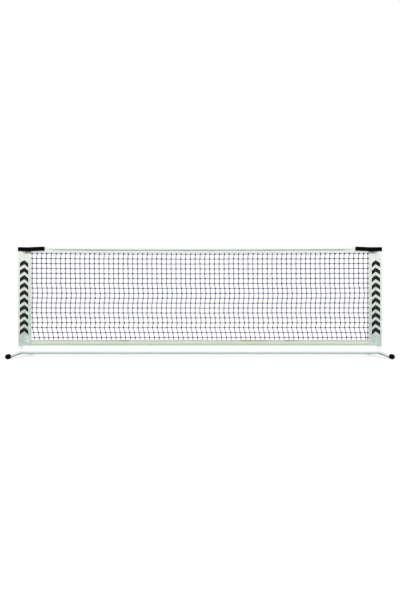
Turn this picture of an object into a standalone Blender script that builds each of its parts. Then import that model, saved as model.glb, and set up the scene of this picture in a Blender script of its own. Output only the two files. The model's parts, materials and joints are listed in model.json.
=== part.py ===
"""Portable pickleball net, 3.05 m wide: a knock-down steel tube frame with a net hung between two posts.

Units are metres. X runs along the net, the front is -Y, Z is up and Z = 0 is the floor.
The origin is on the floor, midway between the posts and midway between the front and rear feet.
Tubes slip together and lock with spring buttons. Straps round the posts close on the headband.
"""

import math

import bmesh
import bpy
from mathutils import Matrix, Vector

# ---- Driving dimensions ----
GAP = 0.0003  # between pieces that touch
POST_X = 1.505  # post axis, either side of the middle
BASE_Z = 0.0405  # axis of the base tube
NET_TOP = 0.925
TUBE_R = 0.019  # outer radius of the posts and the base
WALL = 0.0012  # of every steel tube
BORE_R = TUBE_R - WALL
SPIGOT_R = BORE_R - GAP  # outer radius of what slides inside, the feet included
SPIGOT_BORE_R = SPIGOT_R - WALL
TUBE_STEPS = 24

# ---- Corner hub and tubes ----
POST_JOINT_Z = 0.068  # the post sits on the hub here
POST_SPIGOT_TOP = 0.148
POST_TOP = 0.917
BASE_JOINT_X = 1.415  # the outer base tubes meet the hubs here
BASE_SPIGOT_X = 1.335
MID_JOINT_X = 0.520  # the outer base tubes enter the middle one here
MID_SPIGOT_X = 0.440
FOOT_REACH = 0.360  # from the post axis to the end of a foot, seen from the side
FOOT_DROP = 0.0212  # how far the foot's axis falls over that reach
SOCKET_MOUTH = 0.065  # measured along the foot from the post axis
SOCKET_FLOOR = 0.026
SOCKET_R = TUBE_R + 0.0004
THROAT_R = SPIGOT_BORE_R - 0.0006  # of the bore behind each socket's floor
HUB_OVERLAP = 0.002  # each arm starts this far behind the post axis, so that all fuse
BORE_OVERLAP = 0.004
QUARTER_FACET = math.pi / 2 / TUBE_STEPS

# ---- Spring buttons ----
BUTTON_R = 0.0038
BUTTON_FLANGE_R = 0.0055
BUTTON_FOOT = 0.0133  # distances from the tube's axis
BUTTON_SHOULDER = 0.0148
BUTTON_TIP = 0.0215
BUTTON_DOME = 0.0012
BUTTON_STEPS = 12
POST_BUTTON_Z = 0.081
BASE_BUTTON_X = 1.385
MID_BUTTON_X = 0.490
FOOT_BUTTON = 0.048  # along the foot from the post axis
HOLE_FROM = 0.010  # the button's hole is cut from here outwards
HOLE_TO = 0.030
SPRING_WIDTH = 0.006
SPRING_STRIP = 0.0006
SPRING_SEAT = 0.0055  # half the length of the flat under the button
SPRING_CLEAR = 0.0008  # between the resting leg and the wall, at its middle
SPRING_BEND = 0.034  # from the button to the fold of the V
SPRING_FOLD_R = 0.0022

# ---- Rubber and plastic ends ----
CAP_R = 0.0205
CAP_BORE_R = SPIGOT_R + GAP
CAP_LENGTH = 0.034
CAP_END = 0.005  # rubber past the end of the tube
CAP_ROUND = 0.005
CAP_CROWN = 0.0008  # how much the end bulges
PLUG_DEPTH = 0.016
PLUG_HEAD = 0.003
PLUG_CHAMFER = 0.0012
PLUG_TAPER = 0.003
NECK = 0.004  # where a swaged tube narrows inside, behind its shoulder
CUT_PAST = 0.01  # cutters run this far past the face they open

# ---- Fabric ----
SLEEVE_FABRIC = 0.0012
SLEEVE_INNER_R = TUBE_R + 0.0004
SLEEVE_OUTER_R = SLEEVE_INNER_R + SLEEVE_FABRIC
SLEEVE_PANEL = 0.0020
SLEEVE_INNER_X = 1.415
SLEEVE_BOTTOM = 0.093
SLEEVE_LID = 0.0025
SLEEVE_STEPS = 28
HEADBAND_BOTTOM = 0.875
HEADBAND_T = 0.0048
CHANNEL_T = 0.0024
CHANNEL_H = 0.0270
CHANNEL_TOP = NET_TOP - 0.0025
BOTTOM_BAND_LOW = 0.092
BOTTOM_BAND_HIGH = 0.142
BOTTOM_BAND_T = 0.0030
NET_T = 0.0008
WEBBING_T = 0.0018

# ---- Straps that close round the posts ----
STRAP_T = 0.0015
STRAP_H = 0.034
STRAP_LOW = 0.883
STRAP_END_X = 1.425
STRAP_STEPS = 18
HINGE_X = 1.424  # where the tab peels from
HINGE_AHEAD = 0.0002  # the fold line lies this far in front of the webbing, so that the tab folds onto it
TAB_START_X = 1.4235
TAB_END_X = 1.302
TAB_LOW = 0.8845
TAB_RISE = 0.0055  # the tab lies a little uphill towards the middle
TAB_CORNER = 0.004
PAD_T = 0.0010
PAD_INSET = 0.006  # the hook and loop pads stay inside the tab's ends by this
PAD_CORNER = 0.002
HOOK_Y = -HEADBAND_T / 2 - GAP - PAD_T - GAP
TAB_Y = HOOK_Y - PAD_T - GAP
TAB_BACK = STRAP_T + HINGE_AHEAD  # the tab's back face, measured from the fold line

SIDES = (("left", -1), ("right", 1))
ENDS = (("front", -1), ("rear", 1))
FOOT_SLOPE = math.atan2(FOOT_DROP, FOOT_REACH)


# ---- Helpers ----
def clear_scene():
    for thing in list(bpy.data.objects):
        bpy.data.objects.remove(thing)


def material(name, colour, roughness, metallic=0.0):
    made = bpy.data.materials.new(name)
    made.use_nodes = True
    shader = made.node_tree.nodes["Principled BSDF"]
    shader.inputs["Base Color"].default_value = (*colour, 1.0)
    shader.inputs["Roughness"].default_value = roughness
    shader.inputs["Metallic"].default_value = metallic
    return made


def group(name, location=(0.0, 0.0, 0.0), parent=None):
    """An empty that holds a sub-assembly."""
    empty = bpy.data.objects.new(name, None)
    bpy.context.scene.collection.objects.link(empty)
    empty.location = location
    empty.parent = parent
    return empty


def add(name, bm, paint=None, parent=None, smooth_angle=0.6):
    """Turns a bmesh into a named object with outward faces."""
    bmesh.ops.recalc_face_normals(bm, faces=bm.faces)
    mesh = bpy.data.meshes.new(name)
    bm.to_mesh(mesh)
    bm.free()
    made = bpy.data.objects.new(name, mesh)
    bpy.context.scene.collection.objects.link(made)
    made.parent = parent
    if paint is not None:
        mesh.materials.append(paint)
    mesh.shade_smooth()
    mesh.set_sharp_from_angle(angle=smooth_angle)
    return made


def cutter(name, bm):
    """A tool that Booleans use and the model leaves out."""
    made = add(name, bm)
    made.hide_render = True
    made.display_type = "WIRE"
    return made


def boolean(target, tool, operation="DIFFERENCE"):
    """The exact solver leaves the hubs open, because four tubes of one size cross there at a point."""
    step = target.modifiers.new(operation.lower() + "_" + tool.name, "BOOLEAN")
    step.operation = operation
    step.solver = "MANIFOLD" if "_hub" in target.name else "EXACT"
    step.object = tool


def turned(profile, ring=False, steps=TUBE_STEPS):
    """Turns (radius, height) points about Z. A ring's profile closes, any other ends on the axis."""
    bm = bmesh.new()
    half_facet = math.pi / steps  # puts flats, and not edges, where holes and buttons go
    aside = Vector((math.cos(half_facet), math.sin(half_facet), 0.0))
    verts = [bm.verts.new(radius * aside + Vector((0.0, 0.0, height))) for radius, height in profile]
    edges = [bm.edges.new(pair) for pair in zip(verts, verts[1:])]
    if ring:
        edges.append(bm.edges.new((verts[-1], verts[0])))
    bmesh.ops.spin(
        bm,
        geom=verts + edges,
        cent=(0.0, 0.0, 0.0),
        axis=(0.0, 0.0, 1.0),
        angle=math.tau,
        steps=steps,
        use_merge=True,
    )
    bmesh.ops.remove_doubles(bm, verts=bm.verts, dist=1e-6)
    return bm


def rod(radius, low, high, steps=TUBE_STEPS):
    return turned([(0.0, low), (radius, low), (radius, high), (0.0, high)], steps=steps)


def pipe(outer, inner, low, high):
    profile = [(outer, low), (outer, high), (inner, high), (inner, low)]
    return turned(profile, ring=True)


def prism(outline, depth, place=lambda u, v, w: (u, v, w)):
    """Extrudes a flat outline. place turns (u, v, w) into a point, w from 0 to depth."""
    bm = bmesh.new()
    face = bm.faces.new([bm.verts.new(place(u, v, 0.0)) for u, v in outline])
    grown = bmesh.ops.extrude_face_region(bm, geom=[face])["geom"]
    shift = Vector(place(0.0, 0.0, depth)) - Vector(place(0.0, 0.0, 0.0))
    bmesh.ops.translate(bm, vec=shift, verts=[g for g in grown if isinstance(g, bmesh.types.BMVert)])
    return bm


def block(low, high):
    bm = bmesh.new()
    bmesh.ops.create_cube(bm, size=1.0)
    size = Vector(high) - Vector(low)
    bmesh.ops.scale(bm, vec=size, verts=bm.verts)
    bmesh.ops.translate(bm, vec=(Vector(high) + Vector(low)) / 2, verts=bm.verts)
    return bm


def station(point, along, outward):
    """A frame on a tube's axis: Z runs along the tube and X points where the button comes out."""
    z = Vector(along).normalized()
    x = Vector(outward).normalized()
    y = z.cross(x)
    turn = Matrix((x, y, z)).transposed().to_4x4()
    return Matrix.Translation(Vector(point)) @ turn


def foot_direction(end):
    return Vector((0.0, end * math.cos(FOOT_SLOPE), -math.sin(FOOT_SLOPE)))


def hub_centre(side):
    return Vector((side * POST_X, 0.0, BASE_Z))


# ---- Materials ----
clear_scene()
WHITE_PAINT = material("white_powder_coat", (0.86, 0.88, 0.86), 0.38)
BLACK_RUBBER = material("black_rubber", (0.012, 0.012, 0.014), 0.72)
GREY_PLASTIC = material("grey_plastic", (0.30, 0.31, 0.32), 0.50)
ZINC = material("zinc_plated_steel", (0.62, 0.63, 0.65), 0.30, 1.0)
SPRING_STEEL = material("spring_steel", (0.34, 0.34, 0.36), 0.35, 1.0)
SLEEVE_CLOTH = material("sleeve_cloth", (0.66, 0.73, 0.68), 0.70)
HEADBAND_CLOTH = material("headband_cloth", (0.86, 0.88, 0.84), 0.65)
BAND_CLOTH = material("bottom_band_cloth", (0.70, 0.74, 0.62), 0.70)
BLACK_WEBBING = material("black_webbing", (0.010, 0.011, 0.013), 0.80)
HOOK_AND_LOOP = material("hook_and_loop", (0.014, 0.014, 0.016), 0.92)
NETTING = material("navy_netting", (0.030, 0.028, 0.110), 0.78)

FRAME = group("frame")
NET = group("net")


# ---- Corner hubs: welded, one for each end ----
def corner_hub(name, side):
    """A post stub and a base stub with spigots, and two foot sockets, all hollow and open to each other."""
    centre = hub_centre(side)
    inward = Vector((-side, 0.0, 0.0))
    stub = POST_JOINT_Z - BASE_Z
    arm = POST_X - BASE_JOINT_X
    hub = add(
        f"{name}_corner_hub",
        turned(
            [
                (0.0, -HUB_OVERLAP),
                (TUBE_R, -HUB_OVERLAP),
                (TUBE_R, stub),
                (SPIGOT_R, stub),
                (SPIGOT_R, POST_SPIGOT_TOP - BASE_Z),
                (0.0, POST_SPIGOT_TOP - BASE_Z),
            ]
        ),
        WHITE_PAINT,
        FRAME,
    )
    hub.location = centre
    base_turn = Matrix.Rotation(side * QUARTER_FACET, 4, "Z")
    base_arm = cutter(
        f"{name}_hub_base_arm",
        turned(
            [
                (0.0, -HUB_OVERLAP),
                (TUBE_R, -HUB_OVERLAP),
                (TUBE_R, arm),
                (SPIGOT_R, arm),
                (SPIGOT_R, POST_X - BASE_SPIGOT_X),
                (0.0, POST_X - BASE_SPIGOT_X),
            ]
        ),
    )
    base_arm.matrix_world = station(centre, inward, (0.0, 1.0, 0.0)) @ base_turn
    boolean(hub, base_arm, "UNION")
    bores = []
    for end_name, end in ENDS:
        along = foot_direction(end)
        socket = cutter(f"{name}_{end_name}_hub_socket", rod(SOCKET_R, -HUB_OVERLAP, SOCKET_MOUTH))
        socket.matrix_world = station(centre, along, (1.0, 0.0, 0.0))
        boolean(hub, socket, "UNION")
        bore = cutter(
            f"{name}_{end_name}_hub_socket_bore",
            turned(
                [
                    (0.0, -BORE_OVERLAP),
                    (THROAT_R, -BORE_OVERLAP),
                    (THROAT_R, SOCKET_FLOOR),
                    (BORE_R, SOCKET_FLOOR),
                    (BORE_R, SOCKET_MOUTH + CUT_PAST),
                    (0.0, SOCKET_MOUTH + CUT_PAST),
                ]
            ),
        )
        bore.matrix_world = station(centre, along, (1.0, 0.0, 0.0))
        bores.append(bore)
    post_reach = POST_SPIGOT_TOP - BASE_Z + CUT_PAST
    post_bore = cutter(f"{name}_hub_post_bore", rod(SPIGOT_BORE_R, -BORE_OVERLAP, post_reach))
    post_bore.location = centre
    base_reach = POST_X - BASE_SPIGOT_X + CUT_PAST
    base_bore = cutter(f"{name}_hub_base_bore", rod(SPIGOT_BORE_R, -BORE_OVERLAP, base_reach))
    base_bore.matrix_world = station(centre, inward, (0.0, 1.0, 0.0)) @ base_turn
    for bore in [base_bore, *bores]:
        boolean(post_bore, bore, "UNION")
    boolean(hub, post_bore)
    return hub


# ---- Straight tubes ----
def tube_between(name, start_x, end_x, profile):
    """A tube turned along X from start_x towards end_x."""
    made = add(name, profile, WHITE_PAINT, FRAME)
    along = (math.copysign(1.0, end_x - start_x), 0.0, 0.0)
    made.matrix_world = station((start_x, 0.0, BASE_Z), along, (0.0, 1.0, 0.0))
    return made


def outer_base_tube(name, side):
    """Slides over the hub's spigot, and ends in a narrower spigot of its own."""
    length = BASE_JOINT_X - GAP - MID_JOINT_X
    reach = BASE_JOINT_X - GAP - MID_SPIGOT_X
    neck = length - NECK
    profile = [
        (TUBE_R, 0.0),
        (TUBE_R, length),
        (SPIGOT_R, length),
        (SPIGOT_R, reach),
        (SPIGOT_BORE_R, reach),
        (SPIGOT_BORE_R, neck),
        (BORE_R, neck),
        (BORE_R, 0.0),
    ]
    start = side * (BASE_JOINT_X - GAP)
    return tube_between(f"{name}_base_tube", start, 0.0, turned(profile, ring=True))


def middle_base_tube():
    half = MID_JOINT_X - GAP
    return tube_between("middle_base_tube", -half, half, pipe(TUBE_R, BORE_R, 0.0, 2 * half))


def post(name, side):
    tube = pipe(TUBE_R, BORE_R, POST_JOINT_Z + GAP, POST_TOP)
    made = add(f"{name}_post", tube, WHITE_PAINT, FRAME)
    made.location = (side * POST_X, 0.0, 0.0)
    return made


def foot(name, side, end):
    length = FOOT_REACH / math.cos(FOOT_SLOPE) - CAP_END
    tube = pipe(SPIGOT_R, SPIGOT_BORE_R, SOCKET_FLOOR + GAP, length)
    made = add(f"{name}_foot", tube, WHITE_PAINT, FRAME)
    made.matrix_world = station(hub_centre(side), foot_direction(end), (1.0, 0.0, 0.0))
    return made


# ---- Rubber foot caps and plastic post plugs ----
def foot_cap(name, side, end):
    """A rubber cup over the end of the foot, with its underside moulded flat for the floor."""
    tube_end = FOOT_REACH / math.cos(FOOT_SLOPE) - CAP_END
    far = tube_end + CAP_END
    rounding = [math.radians(angle) for angle in (90, 60, 30, 0)]
    corner = [
        (
            CAP_R - CAP_ROUND + CAP_ROUND * math.sin(angle),
            far - CAP_ROUND + CAP_ROUND * math.cos(angle),
        )
        for angle in rounding
    ]
    profile = [
        (0.0, tube_end + GAP),
        (CAP_BORE_R, tube_end + GAP),
        (CAP_BORE_R, far - CAP_LENGTH),
        (CAP_R, far - CAP_LENGTH),
        *corner,
        (0.0, far + CAP_CROWN),
    ]
    bm = turned(profile)
    frame = station(hub_centre(side), foot_direction(end), (1.0, 0.0, 0.0))
    floor = frame.inverted()
    cut = bmesh.ops.bisect_plane(
        bm,
        geom=list(bm.verts) + list(bm.edges) + list(bm.faces),
        plane_co=floor @ Vector((0.0, 0.0, 0.0)),
        plane_no=floor.to_3x3() @ Vector((0.0, 0.0, -1.0)),
        clear_outer=True,
    )
    rim = [item for item in cut["geom_cut"] if isinstance(item, bmesh.types.BMEdge)]
    bmesh.ops.contextual_create(bm, geom=rim)
    made = add(f"{name}_foot_cap", bm, BLACK_RUBBER, FRAME)
    made.matrix_world = frame
    return made


def post_plug(name, side):
    """Closes the top of the post: a head on the rim and a stem in the bore."""
    seat = POST_TOP + GAP
    profile = [
        (0.0, seat - PLUG_DEPTH),
        (SPIGOT_R - PLUG_CHAMFER, seat - PLUG_DEPTH),
        (SPIGOT_R, seat - PLUG_DEPTH + PLUG_TAPER),
        (SPIGOT_R, seat),
        (TUBE_R, seat),
        (TUBE_R, seat + PLUG_HEAD - PLUG_CHAMFER),
        (TUBE_R - PLUG_CHAMFER, seat + PLUG_HEAD),
        (0.0, seat + PLUG_HEAD),
    ]
    made = add(f"{name}_post_plug", turned(profile), GREY_PLASTIC, FRAME)
    made.location = (side * POST_X, 0.0, 0.0)
    return made


# ---- Spring buttons ----
def spring_outline():
    """A folded strip, seen from the side: (towards the button, along the tube)."""
    half = SPRING_STRIP / 2
    seat = BUTTON_FOOT - GAP - half
    back = -(SPIGOT_BORE_R - SPRING_CLEAR - half)
    fold = Vector((back + SPRING_FOLD_R, SPRING_BEND))
    under_button = [Vector((seat, -SPRING_SEAT)), Vector((seat, SPRING_SEAT))]
    shoulder = Vector((seat - SPRING_SEAT / 2, SPRING_SEAT * 1.5))
    on_wall = Vector((back, -SPRING_SEAT))
    return thick_line([*under_button, shoulder, *bend_round(fold, SPRING_FOLD_R), on_wall], half)


def bend_round(centre, radius):
    """The strip's turn round the fold, from the sprung leg to the leg that rests on the wall."""
    angles = [math.radians(20 + 40 * step) for step in range(5)]
    return [centre + radius * Vector((math.cos(a), math.sin(a))) for a in angles]


def thick_line(line, half):
    """The outline of a strip of even thickness along a line."""
    upper, lower = [], []
    for index, point in enumerate(line):
        before = line[max(index - 1, 0)]
        after = line[min(index + 1, len(line) - 1)]
        run = (after - before).normalized()
        normal = Vector((-run.y, run.x)) * half
        upper.append(point + normal)
        lower.append(point - normal)
    return upper + lower[::-1]


def spring_button(name, frame, inner, outer):
    """A button, its V spring and the hole through both tubes: inner holds the spring, outer is locked."""
    rim_r = BUTTON_R - BUTTON_DOME
    rim_z = BUTTON_TIP - BUTTON_DOME
    dome = [
        (rim_r + BUTTON_DOME * math.cos(angle), rim_z + BUTTON_DOME * math.sin(angle))
        for angle in (0.0, math.pi / 4, math.pi / 2)
    ]
    profile = [
        (0.0, BUTTON_FOOT),
        (BUTTON_FLANGE_R, BUTTON_FOOT),
        (BUTTON_FLANGE_R, BUTTON_SHOULDER),
        (BUTTON_R, BUTTON_SHOULDER),
        *dome,
        (0.0, BUTTON_TIP),
    ]
    out_frame = frame @ Matrix.Rotation(math.pi / 2, 4, "Y")
    button = add(f"{name}_button", turned(profile, steps=BUTTON_STEPS), ZINC, FRAME)
    button.matrix_world = out_frame
    spring = add(
        f"{name}_spring",
        prism(spring_outline(), SPRING_WIDTH, lambda u, v, w: (u, w - SPRING_WIDTH / 2, v)),
        SPRING_STEEL,
        FRAME,
    )
    spring.matrix_world = frame
    hole = cutter(f"{name}_hole", rod(BUTTON_R + GAP, HOLE_FROM, HOLE_TO, BUTTON_STEPS))
    hole.matrix_world = out_frame
    boolean(inner, hole)
    boolean(outer, hole)


# ---- Net, bands and sleeves ----
def sleeve(name, side):
    """A pole pocket round the post, closed at the top, with a flat panel that the net is sewn to."""
    half = SLEEVE_PANEL / 2
    start = math.pi - math.asin(half / SLEEVE_OUTER_R)
    arc = [start * (1 - 2 * index / SLEEVE_STEPS) for index in range(SLEEVE_STEPS + 1)]
    outline = [(POST_X + SLEEVE_OUTER_R * math.cos(a), SLEEVE_OUTER_R * math.sin(a)) for a in arc]
    outline += [(SLEEVE_INNER_X, -half), (SLEEVE_INNER_X, half)]
    height = NET_TOP - SLEEVE_BOTTOM
    body = prism(outline, height, lambda u, v, w: (side * u, v, SLEEVE_BOTTOM + w))
    made = add(f"{name}_sleeve", body, SLEEVE_CLOTH, NET)
    pocket = cutter(f"{name}_sleeve_pocket", rod(SLEEVE_INNER_R, 0.0, NET_TOP - SLEEVE_LID))
    pocket.location = (side * POST_X, 0.0, 0.0)
    boolean(made, pocket)
    return made


def headband():
    """The folded top band. Its upper half is a channel for the tension webbing."""
    half_x = SLEEVE_INNER_X - GAP
    half_y = HEADBAND_T / 2
    body = block((-half_x, -half_y, HEADBAND_BOTTOM), (half_x, half_y, NET_TOP))
    made = add("headband", body, HEADBAND_CLOTH, NET)
    low = CHANNEL_TOP - CHANNEL_H
    past = half_x + CUT_PAST
    channel = block((-past, -CHANNEL_T / 2, low), (past, CHANNEL_T / 2, CHANNEL_TOP))
    boolean(made, cutter("headband_channel", channel))
    edge = 2 * GAP
    webbing = block((-half_x, -WEBBING_T / 2, low + edge), (half_x, WEBBING_T / 2, CHANNEL_TOP - edge))
    add("tension_webbing", webbing, BLACK_WEBBING, NET)
    return made


def bottom_band():
    half_x = SLEEVE_INNER_X - GAP
    half_y = BOTTOM_BAND_T / 2
    body = block((-half_x, -half_y, BOTTOM_BAND_LOW), (half_x, half_y, BOTTOM_BAND_HIGH))
    return add("bottom_band", body, BAND_CLOTH, NET)


def netting():
    """The outline of the knotted net, as one thin sheet."""
    half_x = SLEEVE_INNER_X - GAP
    half_y = NET_T / 2
    body = block((-half_x, -half_y, BOTTOM_BAND_HIGH + GAP), (half_x, half_y, HEADBAND_BOTTOM - GAP))
    return add("netting", body, NETTING, NET)


# ---- Straps ----
def strap_line():
    """The strap's middle line round the post, as (distance from the middle of the net, depth)."""
    radius = SLEEVE_OUTER_R + GAP + STRAP_T / 2
    centre = Vector((POST_X, 0.0))
    front = Vector((STRAP_END_X, TAB_Y - STRAP_T / 2))
    rear = Vector((STRAP_END_X, SLEEVE_PANEL / 2 + GAP + STRAP_T / 2))
    angles = []
    for end, turn in ((front, 1.0), (rear, -1.0)):
        away = end - centre
        lean = math.acos(radius / away.length)
        angles.append(math.atan2(away.y, away.x) + turn * lean)
    start, stop = angles
    sweep = (stop - start) % math.tau
    arc = [start + sweep * index / STRAP_STEPS for index in range(STRAP_STEPS + 1)]
    round_post = [centre + radius * Vector((math.cos(a), math.sin(a))) for a in arc]
    return [front, *round_post, rear]


def strap(name, side):
    outline = thick_line(strap_line(), STRAP_T / 2)
    body = prism(outline, STRAP_H, lambda u, v, w: (side * u, v, STRAP_LOW + w))
    return add(f"{name}_strap", body, BLACK_WEBBING, NET)


def slanted(start, end, low, high, corner, steps=3):
    """A strip that rises with the tab, with round corners at its free end: (distance, height)."""
    def lift(u):
        return TAB_RISE * (TAB_START_X - u) / (TAB_START_X - TAB_END_X)

    points = [(start, high), (start, low)]
    for centre_v, first in ((low + corner, 270.0), (high - corner, 180.0)):
        for index in range(steps + 1):
            angle = math.radians(first - 90.0 * index / steps)
            points.append((end + corner + corner * math.cos(angle), centre_v + corner * math.sin(angle)))
    return [(u, v + lift(u)) for u, v in points]


def strap_tab(name, side):
    """The tab that peels off the headband, with its hook pad, both hung from an empty on the fold line."""
    hinge = group(f"{name}_tab_hinge", (side * HINGE_X, TAB_Y - TAB_BACK, 0.0), NET)

    def tab_place(u, v, w):
        return (side * (u - HINGE_X), TAB_BACK - w, v)

    def hook_place(u, v, w):
        return (side * (u - HINGE_X), TAB_BACK + GAP + w, v)

    tab = slanted(TAB_START_X, TAB_END_X, TAB_LOW, TAB_LOW + STRAP_H, TAB_CORNER)
    add(f"{name}_strap_tab", prism(tab, STRAP_T, tab_place), BLACK_WEBBING, hinge)
    hook = slanted(
        SLEEVE_INNER_X - PAD_INSET,
        TAB_END_X + PAD_INSET,
        TAB_LOW + PAD_INSET / 2,
        TAB_LOW + STRAP_H - PAD_INSET / 2,
        PAD_CORNER,
    )
    add(f"{name}_hook_pad", prism(hook, PAD_T, hook_place), HOOK_AND_LOOP, hinge)

    def loop_place(u, v, w):
        return (side * u, -HEADBAND_T / 2 - GAP - w, v)

    add(f"{name}_loop_pad", prism(hook, PAD_T, loop_place), HOOK_AND_LOOP, NET)


# ---- Assembly ----
middle = middle_base_tube()
for side_name, side in SIDES:
    hub = corner_hub(side_name, side)
    upright = post(side_name, side)
    base = outer_base_tube(side_name, side)
    post_plug(side_name, side)
    inward = (-side, 0.0, 0.0)
    rearward = (0.0, 1.0, 0.0)
    post_station = station((side * POST_X, 0.0, POST_BUTTON_Z), (0.0, 0.0, 1.0), rearward)
    spring_button(f"{side_name}_post", post_station, hub, upright)
    base_station = station((side * BASE_BUTTON_X, 0.0, BASE_Z), inward, rearward)
    spring_button(f"{side_name}_base", base_station, hub, base)
    middle_station = station((side * MID_BUTTON_X, 0.0, BASE_Z), inward, rearward)
    spring_button(f"{side_name}_middle", middle_station, base, middle)
    for end_name, end in ENDS:
        label = f"{side_name}_{end_name}"
        leg = foot(label, side, end)
        foot_cap(label, side, end)
        along = foot_direction(end)
        foot_station = station(hub_centre(side) + along * FOOT_BUTTON, along, (side, 0.0, 0.0))
        spring_button(label, foot_station, leg, hub)
    sleeve(side_name, side)
    strap(side_name, side)
    strap_tab(side_name, side)
headband()
bottom_band()
netting()
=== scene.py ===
"""Looks of the portable pickleball net: cloth, twine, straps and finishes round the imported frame.

Metres. X runs along the net, the front is -Y, Z is up and the floor is at Z = 0.
"""

import json
import math

import bmesh
import bpy
import numpy as np
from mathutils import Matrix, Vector, noise


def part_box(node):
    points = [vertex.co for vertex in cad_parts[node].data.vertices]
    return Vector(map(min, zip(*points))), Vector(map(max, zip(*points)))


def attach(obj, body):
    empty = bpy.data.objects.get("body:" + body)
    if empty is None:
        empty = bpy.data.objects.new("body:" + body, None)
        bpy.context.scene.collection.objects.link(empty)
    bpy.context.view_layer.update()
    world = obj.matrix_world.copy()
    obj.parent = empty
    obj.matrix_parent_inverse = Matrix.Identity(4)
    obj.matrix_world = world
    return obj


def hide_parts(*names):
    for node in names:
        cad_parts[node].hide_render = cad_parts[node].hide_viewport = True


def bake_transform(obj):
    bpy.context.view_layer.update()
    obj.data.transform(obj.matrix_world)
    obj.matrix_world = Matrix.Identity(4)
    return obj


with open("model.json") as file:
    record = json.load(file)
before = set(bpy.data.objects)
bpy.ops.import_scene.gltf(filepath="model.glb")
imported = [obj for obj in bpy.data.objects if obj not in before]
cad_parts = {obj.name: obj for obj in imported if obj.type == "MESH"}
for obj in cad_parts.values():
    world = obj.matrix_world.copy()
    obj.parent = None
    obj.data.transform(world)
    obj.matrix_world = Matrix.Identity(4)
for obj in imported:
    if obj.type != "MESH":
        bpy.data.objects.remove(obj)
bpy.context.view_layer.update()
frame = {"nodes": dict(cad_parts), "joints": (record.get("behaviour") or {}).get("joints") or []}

SIDES = (("left", -1), ("right", 1))
ROOT = "frame"
MM = 0.001


# ---- Places, read from the frame ----
def middle(node):
    low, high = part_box(node)
    return (low + high) / 2


def size(node):
    low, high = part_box(node)
    return high - low


POST_X = middle("right_post").x
BASE_Z = middle("middle_base_tube").z
TUBE_R = size("middle_base_tube").z / 2
SLEEVE_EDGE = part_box("right_sleeve")[0].x  # the edge that holds the net
SLEEVE_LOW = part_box("right_sleeve")[0].z
NET_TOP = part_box("right_sleeve")[1].z
BAND_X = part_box("headband")[1].x
HEADBAND_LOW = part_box("headband")[0].z
BAND_LOW, BAND_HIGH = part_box("bottom_band")[0].z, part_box("bottom_band")[1].z
SAG = 5 * MM  # of the net's top edge, at the middle


def sag(x):
    """How far the top edge hangs below its ends, as a negative height."""
    return -SAG * (1 - (x / BAND_X) ** 2)


def clipped(share):
    return min(1.0, max(0.0, share))


# ---- Camera, light and floor ----
def linked(name, data):
    """An object of some data, in the scene."""
    made = bpy.data.objects.new(name, data)
    bpy.context.scene.collection.objects.link(made)
    return made


def camera():
    data = bpy.data.cameras.new("camera")
    data.lens = 37.4
    data.sensor_width = 36.0
    data.shift_y = 0.0329
    data.clip_end = 300.0
    eye = linked("camera", data)
    eye.location = (0.0, -5.23, 0.31)
    eye.rotation_euler = (math.radians(90.0), 0.0, 0.0)
    bpy.context.scene.camera = eye


def soft_sun(name, place, strength, width):
    """A large soft light, with no fall-off, shining from place towards the origin."""
    data = bpy.data.lights.new(name, "SUN")
    data.energy = strength
    data.angle = math.radians(width)
    lamp = linked(name, data)
    lamp.location = place
    lamp.rotation_euler = (-Vector(place)).to_track_quat("-Z", "Y").to_euler()


SKY = (1.0, 1.01, 1.005)
BOUNCE = (0.33, 0.39, 0.35)  # what reaches the object from below
GROUND_BELOW, SKY_ABOVE = -0.25, -0.04  # the heights of a direction between which one gives way to the other


def studio():
    world = bpy.data.worlds.new("studio")
    world.use_nodes = True
    sky = Nodes(world.node_tree)
    up = sky.axis(sky.add("ShaderNodeTexCoord", {}).outputs["Generated"], "Z")
    colour = sky.mix(sky.spread(up, GROUND_BELOW, SKY_ABOVE), BOUNCE, SKY)
    sky.connect(world.node_tree.nodes["Background"], {"Color": colour})
    bpy.context.scene.world = world
    bpy.context.scene.view_settings.view_transform = "Standard"
    soft_sun("key", (0.0, -2.6, 5.0), 0.95, 26.0)
    soft_sun("left", (-5.0, -1.0, 2.2), 0.42, 50.0)
    soft_sun("right", (5.0, -1.0, 2.2), 0.42, 50.0)
    soft_sun("rear", (0.0, 4.5, 3.4), 0.36, 60.0)


FLOOR_HALF = 120.0
FLOOR_TONE = 0.295
FLOOR_GLOW = 0.63  # how much of the floor's brightness no shadow can take away


def floor():
    """A pale floor, partly lit from within, so that shadows on it stay faint.

    What it would throw back up at the object comes from the world instead.
    """
    mesh = bpy.data.meshes.new("floor")
    corners = [(FLOOR_HALF * x, FLOOR_HALF * y, 0.0) for x, y in ((-1, -1), (1, -1), (1, 1), (-1, 1))]
    mesh.from_pydata(corners, [], [(0, 1, 2, 3)])
    plane = linked("floor", mesh)
    glow = {"Emission Color": (1.0, 1.0, 1.0, 1.0), "Emission Strength": FLOOR_GLOW}
    pale = Finish("pale_floor", (FLOOR_TONE,) * 3, 0.95, {"Specular IOR Level": 0.0, **glow})
    plane.data.materials.append(pale.material)
    plane.visible_diffuse = False


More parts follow.
